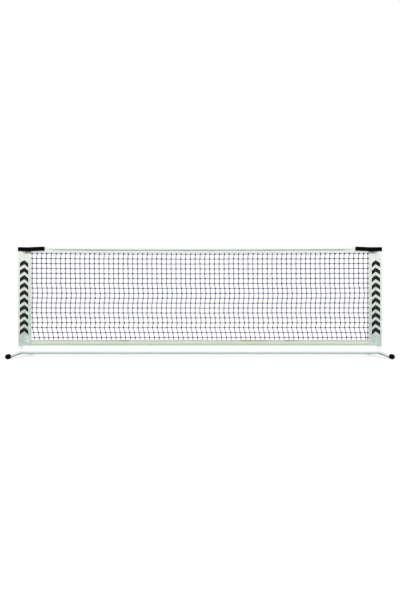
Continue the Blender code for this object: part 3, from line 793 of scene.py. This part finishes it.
# ---- Sleeves ----
POCKET_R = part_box("right_sleeve")[1].y - CLOTH / 2 - 0.1 * MM
POCKET_SEAM = POST_X - 31 * MM
PANEL_HALF = 0.8 * MM  # depth of each layer of the panel from the middle plane
EDGE_HALF = 1.15 * MM  # and at the edge, where the netting goes in
CAP_START = NET_TOP - 3.4 * MM
SLEEVE_ROW = 6 * MM
PANEL_START, POCKET_START = 18 * MM, 12 * MM  # how gradually the cloth loosens past its edge and its seam
BUCKLE = 3.2 * MM
PUFF = 1.5 * MM  # how far the pocket stands off the post
HEM_THICK = 0.3 * MM
HEM_ROW = 2  # the row of points that the hem's stitches follow
STRAP_LOW, STRAP_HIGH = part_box("right_strap")[0].z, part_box("right_strap")[1].z


def sleeve_line():
    """Half the sleeve's section, from the net's edge outwards, as (distance out, depth, normal)."""
    flat = (0.0, -1.0)
    line = [(SLEEVE_EDGE, -EDGE_HALF, flat), (SLEEVE_EDGE + 3 * MM, -EDGE_HALF, flat)]
    line += [(out, -PANEL_HALF, flat) for out in np.linspace(SLEEVE_EDGE + 9 * MM, POCKET_SEAM, 11)]
    reach = math.hypot(POST_X - POCKET_SEAM, PANEL_HALF)
    start = math.pi + math.atan2(PANEL_HALF, POST_X - POCKET_SEAM) + math.acos(POCKET_R / reach)
    touch = (POST_X + POCKET_R * math.cos(start), POCKET_R * math.sin(start))
    seam = (POCKET_SEAM, -PANEL_HALF)
    for share in (0.18, 0.45, 0.75):
        normal = (share * math.cos(start), share * math.sin(start) - (1 - share))
        line.append((seam[0] + share * (touch[0] - seam[0]), seam[1] + share * (touch[1] - seam[1]), normal))
    for angle in np.linspace(start, math.tau, 20):
        normal = (math.cos(angle), math.sin(angle))
        line.append((POST_X + POCKET_R * normal[0], POCKET_R * normal[1], normal))
    return line


def sleeve_folds(side, face):
    """Slanting creases of one face: (height, slope, width, how far they stand out)."""
    random = np.random.default_rng(100 + 10 * side + face)
    folds = []
    for low, high, count, most in ((0.11, 0.30, 8, 3.4), (0.30, 0.60, 7, 2.2), (0.60, 0.85, 6, 1.5)):
        for place in np.linspace(low, high, count) + random.normal(0, 0.008, count):
            slope = random.uniform(0.15, 0.75) * (1 if random.random() < 0.8 else -1)
            folds.append((place, slope, random.uniform(5, 11) * MM, random.uniform(0.4, 1.0) * most * MM))
    return folds


def sleeve_grid(side):
    """A sleeve's points, (row, column, 3), its section, and its last row under the top closure."""
    half = sleeve_line()
    line = half + [(u, -y, (n[0], -n[1])) for u, y, n in reversed(half[:-1])]
    rows = round((CAP_START - SLEEVE_LOW) / SLEEVE_ROW)
    folds = {face: sleeve_folds(side, face) for face in (0, 1)}
    grid = []
    for z in np.linspace(SLEEVE_LOW, CAP_START, rows + 1):
        loose = clipped((STRAP_LOW - 4 * MM - z) / 0.03)
        row = []
        for out, depth, (along, across) in line:
            face = 0 if depth < 0 else 1
            panel = clipped((out - SLEEVE_EDGE) / PANEL_START)
            pocket = clipped((out - POCKET_SEAM) / POCKET_START)
            cloudy = noise.noise(Vector((out * 22, z * 7 + 3 * face, 2.0 * side)))
            buckle = BUCKLE * cloudy * panel * (1 - pocket)
            puff = PUFF * pocket * abs(noise.noise(Vector((along * 1.5, z * 9, 5.0 * side + across))))
            crease = 0.0
            for place, slope, width, amount in folds[face]:
                off = (z - place - slope * (out - 1.46)) / math.hypot(1, slope) / width
                if abs(off) < 3:
                    crease += amount * math.exp(-off * off)
            push = loose * (puff + crease * max(panel * (1 - pocket), 0.6 * pocket))
            hem = HEM_THICK if z < SLEEVE_LOW + 10 * MM else 0.0
            u = out + along * (push + hem)
            y = depth + across * (push + hem) + loose * buckle
            row.append((side * u, y, z))
        grid.append(row)
    for share in (0.22, 0.5, 0.8, 1.0):
        z = CAP_START + (NET_TOP - CLOTH / 2 - CAP_START) * math.sin(share * math.pi / 2)
        row = []
        for (x, y, _), (out, _, _) in zip(grid[rows], line):
            goal = out if out < POCKET_SEAM else POST_X + 0.55 * (out - POST_X)
            goal = min(goal, out) if out < POST_X else goal
            row.append((x + share * (side * goal - x), y * (1 - share), z))
        grid.append(row)
    return np.array(grid), line, rows


def sleeves():
    cloth = sleeve_cloth()
    sewn = thread("sleeve_thread", (0.45, 0.50, 0.45), (0.70, 0.75, 0.69))
    for name, side in SIDES:
        grid, line, rows = sleeve_grid(side)
        outward = grid if side > 0 else grid[:, ::-1]
        sleeve = sheet_piece(f"{name}_sleeve_cloth", outward, cloth, CLOTH)
        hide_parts(f"{name}_sleeve")
        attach(sleeve, ROOT)
        outs = np.array([entry[0] for entry in line])
        normals = np.array([(side * n[0], n[1], 0.0) for _, _, n in line])
        parts = []
        for target in (SLEEVE_EDGE + 1.5 * MM, SLEEVE_EDGE + 9 * MM, POCKET_SEAM):
            column = int(np.argmin(np.abs(outs[:len(line) // 2] - target)))
            for at in (column, len(line) - 1 - column):
                up = normals[at]
                parts.append(stitches(grid[:rows + 1, at] + up * CLOTH / 2, up))
        parts.append(stitches(grid[HEM_ROW] + normals * CLOTH / 2, normals))
        rowsewn = whole(f"{name}_sleeve_stitching", parts, sewn)
        flat = (float(run_along(grid[0])[-1]), NET_TOP - SLEEVE_LOW)


# ---- Straps and their hook-and-loop tabs ----
STRAP_T = size("right_strap_tab").y
STRAP_H = STRAP_HIGH - STRAP_LOW
TAB_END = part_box("right_strap_tab")[0].x
TAB_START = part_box("right_strap_tab")[1].x
TAB_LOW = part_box("right_strap_tab")[0].z
TAB_RISE = size("right_strap_tab").z - STRAP_H
TAB_Y = middle("right_strap_tab").y
STRAP_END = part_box("right_strap")[0].x
HINGE = {j["name"]: Vector(j["pos_m"]) for j in frame["joints"] if j["name"].endswith("tab_peel")}
FOLD = 2.2 * MM  # the webbing's points lie closer together for twice this either side of the hinge
CORNER = 4 * MM
REAR_POINTS = 23  # points of the route along the strap's rear end
CLOSING = 0.226  # how far the strap comes forward for each step in towards its end
SLANT_FROM, SLANT_OVER = 1.442, 0.036  # where the webbing begins to slant up, and over what length


def rear_leg():
    """Depth of the strap's rear end, from its own corners there."""
    corners = [v.co for v in frame["nodes"]["right_strap"].data.vertices]
    behind = [co.y for co in corners if co.x < STRAP_END + 0.2 * MM and co.y > 0]
    return sum(behind) / len(behind)


def strap_route():
    """The webbing's middle line as (distance out, depth): rear end, round the post, and along the tab."""
    radius = (size("right_strap").y - STRAP_T) / 2
    centre = Vector((POST_X, 0.0))
    front, rear = Vector((STRAP_END, TAB_Y)), Vector((STRAP_END, rear_leg()))
    angles = []
    for end, turn in ((rear, -1.0), (front, 1.0)):
        away = end - centre
        angles.append(math.atan2(away.y, away.x) + turn * math.acos(radius / away.length))
    start, stop = angles
    sweep = (start - stop) % math.tau
    arc = [start - sweep * share for share in np.linspace(0.0, 1.0, 34)]
    bend = [(POST_X + radius * math.cos(a), radius * math.sin(a)) for a in arc]
    rear_run = np.linspace(tuple(rear), bend[0], REAR_POINTS + 1)[:-1]
    front_run = np.linspace(bend[-1], tuple(front), 24)[1:-6]
    hinge_x = HINGE["right_tab_peel"].x
    fine = np.arange(hinge_x + 2 * FOLD, hinge_x - 2 * FOLD, -0.4 * MM)
    near = [(u, TAB_Y - max(0.0, u - STRAP_END) * CLOSING) for u in fine]
    tab_run = [(u, TAB_Y) for u in np.arange(fine[-1] - 2.5 * MM, TAB_END + CORNER, -2.5 * MM)]
    corner = [(TAB_END + CORNER * (1 - math.sin(a)), TAB_Y) for a in np.linspace(0.0, math.pi / 2, 7)]
    front_run = [p for p in front_run if p[0] > fine[0] + 1 * MM]
    return np.array([*rear_run, *bend, *front_run, *near, *tab_run, *corner])


def strap_middle(out):
    """Height of the webbing's middle: level on the strap, rising along the tab."""
    level = (STRAP_LOW + STRAP_HIGH) / 2
    share = clipped((SLANT_FROM - out) / SLANT_OVER)
    share = share * share * (3 - 2 * share)
    slant = TAB_LOW + STRAP_H / 2 + TAB_RISE * (TAB_START - out) / (TAB_START - TAB_END)
    return level + share * (slant - level)


def woven_strap(name, line, across, heights, thickness, material):
    """Flat webbing along a line of points: ribbed faces and rounded selvedges."""
    rows = 22
    share = np.linspace(-1.0, 1.0, rows)
    share = np.sign(share) * (1 - (1 - np.abs(share)) ** 1.25)
    half = np.asarray(heights)[:, None] / 2
    lift = share[None, :] * half
    inside = np.clip((half - np.abs(lift)) / (thickness / 2), 0.0, 1.0)
    face = thickness / 2 * np.sqrt(np.maximum(0.06, 1 - (1 - inside) ** 2))
    face = face - 0.07 * MM * (np.arange(rows) % 2)[None, :] * (inside > 0.99)
    up = np.array([0.0, 0.0, 1.0])
    front = line[:, None] + across[:, None] * face[..., None] + up * lift[..., None]
    back = line[:, None] - across[:, None] * face[..., None] + up * lift[..., None]
    ring = np.concatenate([front, back[:, ::-1]], axis=1)
    rise = np.concatenate([lift, lift[:, ::-1]], axis=1)
    run = np.broadcast_to(run_along(line)[:, None], rise.shape)
    flat = np.stack([rise, run], -1).reshape(-1, 2)
    faces = ring_faces(1, len(line), ring.shape[1])
    lay = np.concatenate([flat[group.ravel()] for group in faces])
    return piece(name, ring.reshape(-1, 3), faces, material, lay)


def tab_frame(side, out, lift, depth):
    """A point on or before the tab: lift is up from its middle, and depth is Y."""
    return (side * out, depth, strap_middle(out) + lift)


def outline(side, first, last, half, depth):
    """A rectangle of points round a pad."""
    corners = [(first, -half), (last, -half), (last, half), (first, half), (first, -half)]
    path = []
    for one, two in zip(corners[:-1], corners[1:]):
        path += [tab_frame(side, u, v, depth) for u, v in np.linspace(one, two, 12)[:-1]]
    return np.array([*path, tab_frame(side, *corners[-1], depth)])


def pad_plate(side, first, last, half, near, far):
    """A thin plate with round corners, from depth near to depth far, as points and faces."""
    radius = 2 * MM
    inner, outer, high = last + radius, first - radius, half - radius
    rim = []
    for u, v, start in ((inner, -high, 180), (outer, -high, 270), (outer, high, 0), (inner, high, 90)):
        for angle in np.radians(start + np.linspace(0, 90, 5)):
            rim.append((u + radius * math.cos(angle), v + radius * math.sin(angle)))
    points = [tab_frame(side, u, v, depth) for depth in (near, far) for u, v in rim]
    count = len(rim)
    ring = np.arange(count)
    sides = np.stack([ring, np.roll(ring, -1), np.roll(ring, -1) + count, ring + count], -1)
    faces = [sides, ring[None, ::-1], ring[None] + count]
    if side * (far - near) > 0:
        faces = [group[:, ::-1] for group in faces]
    return np.array(points), faces


PAD_PITCH = 1.7 * MM  # between bristles
PAD_STRAY = {"hook": 0.04 * MM, "loop": 0.5 * MM}  # of a bristle from its place
PAD_REACH = 0.8 * MM
# How a bristle stands, from its foot to its tip: (share of its reach along the pad, share of its height).
PAD_BEND = {
    "hook": ((0.0, 0.0), (0.0, 0.75), (0.45, 1.0), (0.8, 0.72)),
    "loop": ((-0.7, 0.0), (-0.45, 0.85), (0.45, 0.95), (0.7, 0.0)),
}


def pads(name, side, hook, loop, sewn):
    """The hook pad on the tab and the loop pad on the headband, sewn round their edges."""
    random = np.random.default_rng(300 + side)
    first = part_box("right_hook_pad")[1].x
    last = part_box("right_hook_pad")[0].x
    half = (size("right_hook_pad").z - TAB_RISE * (first - last) / (TAB_START - TAB_END)) / 2
    for kind, material, body in (("hook", hook, f"{name}_tab"), ("loop", loop, ROOT)):
        low_y, high_y = (p.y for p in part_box(f"{name}_{kind}_pad"))
        base, tip = (low_y, high_y) if kind == "hook" else (high_y, low_y)
        plate = base + 0.45 * (tip - base)
        points, faces = pad_plate(side, first, last, half, base, plate)
        us = np.arange(last + 3.4 * MM, first - 3.0 * MM, PAD_PITCH)
        vs = np.arange(-half + 3.0 * MM, half - 2.8 * MM, PAD_PITCH)
        spots = np.array([(u, v) for u in us for v in vs])
        spots += random.normal(0, PAD_STRAY[kind], spots.shape)
        turns = np.zeros(len(spots)) if kind == "hook" else random.uniform(0, math.tau, len(spots))
        paths = []
        for (u, v), turn in zip(spots, turns):
            path = []
            for along, rise in PAD_BEND[kind]:
                step = along * PAD_REACH
                depth = plate + rise * (tip - plate) * 0.86
                path.append(tab_frame(side, u + step * math.cos(turn), v + step * math.sin(turn), depth))
            paths.append(path)
        bristles, groups, _ = tubes(np.array(paths), 0.13 * MM, 4, (0.3, 0.0, 0.9))
        faces = faces + [group + len(points) for group in groups]
        points = np.concatenate([points, bristles])
        made = piece(f"{name}_{kind}_face", points, faces, material, None)
        made.data.set_sharp_from_angle(angle=math.radians(35))
        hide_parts(f"{name}_{kind}_pad")
        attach(made, body)
        if kind == "loop":
            path = outline(side, first - 1.3 * MM, last + 1.3 * MM, half - 1.3 * MM, plate)
            whole(f"{name}_loop_stitching", [stitches(path, (0, -1, 0))], sewn)
    path = outline(side, first - 2 * MM, last + 2 * MM, half - 1 * MM, TAB_Y - STRAP_T / 2)
    whole(f"{name}_tab_stitching", [stitches(path, (0, -1, 0))], sewn, f"{name}_tab")


def rear_stitches(side, route):
    """A box with a cross in it, between two points of the route, where the strap's rear end is sewn down."""
    first, last, half = 2, 20, 12 * MM
    box = [(first, -half), (last, -half), (last, half), (first, half), (first, -half), (last, half)]
    box += [(last, -half), (first, half)]
    path = []
    for one, two in zip(box[:-1], box[1:]):
        for at, lift in np.linspace(one, two, 14)[:-1]:
            u, y = (np.interp(at, range(REAR_POINTS), route[:REAR_POINTS, k]) for k in (0, 1))
            path.append((side * u, y + STRAP_T / 2 + 0.02 * MM, strap_middle(u) + lift))
    return stitches(path, (0, 1, 0))


def straps():
    black = webbing_cloth()
    sewn = thread("black_thread", (0.010, 0.010, 0.012), (0.050, 0.052, 0.055))
    hook = pile("hook_face", 900.0, (0.030, 0.030, 0.034))
    loop = pile("loop_face", 500.0, (0.040, 0.040, 0.042))
    route = strap_route()
    ahead = unit(np.gradient(route, axis=0))
    short = np.clip((CORNER - (route[:, 0] - TAB_END)) / CORNER, 0.0, 1.0)
    heights = STRAP_H - 2 * CORNER * (1 - np.sqrt(np.maximum(0.0, 1 - short**2)))
    for name, side in SIDES:
        line = np.array([(side * u, y, strap_middle(u)) for u, y in route])
        across = np.stack([-ahead[:, 1], side * ahead[:, 0], np.zeros(len(route))], -1)
        strap = woven_strap(f"{name}_webbing", line, across, heights, STRAP_T, black)
        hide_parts(f"{name}_strap", f"{name}_strap_tab")
        hinge = HINGE[f"{name}_tab_peel"]
        start, end = ((hinge.x + way * side * FOLD, TAB_Y, hinge.z) for way in (1, -1))
        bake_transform(strap)
        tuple(start)
        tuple(end)
        pads(name, side, hook, loop, sewn)
        whole(f"{name}_strap_stitching", [rear_stitches(side, route)], sewn)
    inner_webbing(black)


def inner_webbing(black):
    """The webbing inside the headband, which hangs and sways with it."""
    mid = middle("tension_webbing").z + 0.3 * MM
    line = np.array([(x, sway(x, TOP_SWAY), mid + sag(x)) for x in np.linspace(-BAND_X, BAND_X, 81)])
    across = np.broadcast_to((0.0, 1.0, 0.0), line.shape)
    heights = np.full(len(line), size("tension_webbing").z - 1.2 * MM)
    inside = woven_strap("headband_webbing", line, across, heights, size("tension_webbing").y, black)
    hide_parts("tension_webbing")
    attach(inside, ROOT)


# ---- Weld beads on the corner hubs ----
BEAD_R = 1.5 * MM
BEAD_SUNK = 0.985  # the share of a tube's radius at which a bead's middle lies


def beads():
    """A rippled fillet of weld along each line where two arms of a hub meet."""
    paint = bpy.data.materials["white_powder_coat"]
    for name, side in SIDES:
        centre = np.array((side * POST_X, 0.0, BASE_Z))
        cap = middle(f"{name}_front_foot_cap")
        drop = math.atan2(BASE_Z - cap.z, abs(cap.y))
        up, inward = np.array((0.0, 0.0, 1.0)), np.array((-float(side), 0.0, 0.0))
        feet = [np.array((0.0, end * math.cos(drop), -math.sin(drop))) for end in (-1, 1)]
        arms = [up, inward, *feet]
        parts = []
        for one, two in ((up, inward), (up, feet[0]), (up, feet[1]), (inward, feet[0]), (inward, feet[1])):
            spread = math.acos(float(one @ two))
            between, out = unit(one + two), unit(np.cross(one, two))
            turn = np.linspace(0.0, math.pi, 181)[:, None]
            line = TUBE_R * (np.cos(turn) * out + np.sin(turn) / math.sin(spread / 2) * between)
            clear = np.ones(len(line), bool)
            for other in arms:
                if other is one or other is two:
                    continue
                along = line @ other
                beside = np.linalg.norm(line - along[:, None] * other, axis=1)
                clear &= (along < 0) | (beside > TUBE_R * BEAD_SUNK)
            for run in np.split(np.arange(len(line)), np.where(np.diff(clear.astype(int)))[0] + 1):
                if clear[run[0]] and len(run) > 12:
                    path = centre + line[run] * BEAD_SUNK
                    wide = BEAD_R * (1 + 0.16 * np.sin(np.arange(len(run)) * 1.35))
                    wide[0] = wide[-1] = 0.4 * BEAD_R
                    parts.append(tubes(path[None], wide[None], 8, line[run][None]))
        whole(f"{name}_weld_beads", parts, paint)


# ---- Springs behind the snap buttons ----
FOLD_RISE = 0.35  # share of a spring's height, from the wall, where the start of a line through the spring is worked out


def springs():
    """The CAD springs again, with their long edges cut finely, the leg under the button among them."""
    leaf = bpy.data.materials["blued_steel"]
    for joint in frame["joints"]:
        if not joint["name"].endswith("_button_press"):
            continue
        label = joint["name"].removesuffix("_button_press")
        node = frame["nodes"][f"{label}_spring"]
        bm = bmesh.new()
        bm.from_mesh(node.data)
        bmesh.ops.remove_doubles(bm, verts=bm.verts, dist=0.01 * MM)
        bmesh.ops.dissolve_limit(bm, angle_limit=math.radians(2), verts=bm.verts, edges=bm.edges)
        long_edges = [e for e in bm.edges if e.calc_length() > 5 * MM]
        bmesh.ops.subdivide_edges(bm, edges=long_edges, cuts=5, use_grid_fill=True)
        bmesh.ops.triangulate(bm, faces=bm.faces)
        mesh = bpy.data.meshes.new(f"{label}_leaf")
        bm.to_mesh(mesh)
        bm.free()
        mesh.shade_smooth()
        mesh.set_sharp_from_angle(angle=math.radians(35))
        mesh.materials.append(leaf)
        made = linked(f"{label}_leaf", mesh)
        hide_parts(node.name)
        into = Vector(joint["axis"]).normalized()
        depths = [into.dot(v.co) for v in mesh.vertices]
        wall, foot = max(depths), min(depths)
        centre = middle(node.name)
        depths = (wall - FOLD_RISE * (wall - foot), foot + 1 * MM)
        start, end = (tuple(centre + into * (depth - into.dot(centre))) for depth in depths)
        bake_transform(made)
        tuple(start)
        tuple(end)


# ---- Assembly of the looks ----
def round_off(mesh, limit):
    """Lets the shading run on over faces that meet at less than limit, though they share no corners."""
    mesh.shade_smooth()
    faces = np.array([f.vertices[:] for f in mesh.polygons])
    co = np.array([v.co for v in mesh.vertices])[faces]
    normals = np.array([f.normal for f in mesh.polygons])
    one, two = np.roll(co, -1, 1) - co, np.roll(co, 1, 1) - co
    lengths = np.linalg.norm(one, axis=2) * np.linalg.norm(two, axis=2)
    angles = np.arccos(np.clip((one * two).sum(2) / np.maximum(lengths, 1e-12), -1, 1))
    _, spot = np.unique(np.round(co.reshape(-1, 3) / (0.02 * MM)), axis=0, return_inverse=True)
    spot = spot.ravel()
    order = np.argsort(spot, kind="stable")
    smooth = np.zeros((len(spot), 3))
    for group in np.split(order, np.flatnonzero(np.diff(spot[order])) + 1):
        here = normals[group // 3]
        near = (here @ here.T > math.cos(limit)) * angles.ravel()[group]
        smooth[group] = near @ here
    size = np.linalg.norm(smooth, axis=1, keepdims=True)
    smooth = np.where(size > 1e-9, smooth / np.maximum(size, 1e-9), np.repeat(normals, 3, axis=0))
    mesh.normals_split_custom_set(smooth.tolist())


def dress_frame():
    """Gives each CAD node that stays its finish."""
    finishes = {
        "powder_coat": powder_coat(),
        "rubber": rubber(),
        "grey_plastic": moulded_plastic(),
        "button_steel": steel("zinc_plate", (0.52, 0.53, 0.55), (0.70, 0.71, 0.73), 0.28),
        "spring_steel": steel("blued_steel", (0.16, 0.17, 0.20), (0.30, 0.31, 0.34), 0.34),
    }
    ends = {"button": "button_steel", "spring": "spring_steel", "cap": "rubber", "plug": "grey_plastic"}
    for name, node in frame["nodes"].items():
        slot = ends.get(name.rsplit("_", 1)[-1], "powder_coat")
        node.data.materials.clear()
        node.data.materials.append(finishes[slot])
        round_off(node.data, math.radians(35))


camera()
studio()
floor()
dress_frame()
springs()
beads()
netting()
bands()
sleeves()
straps()
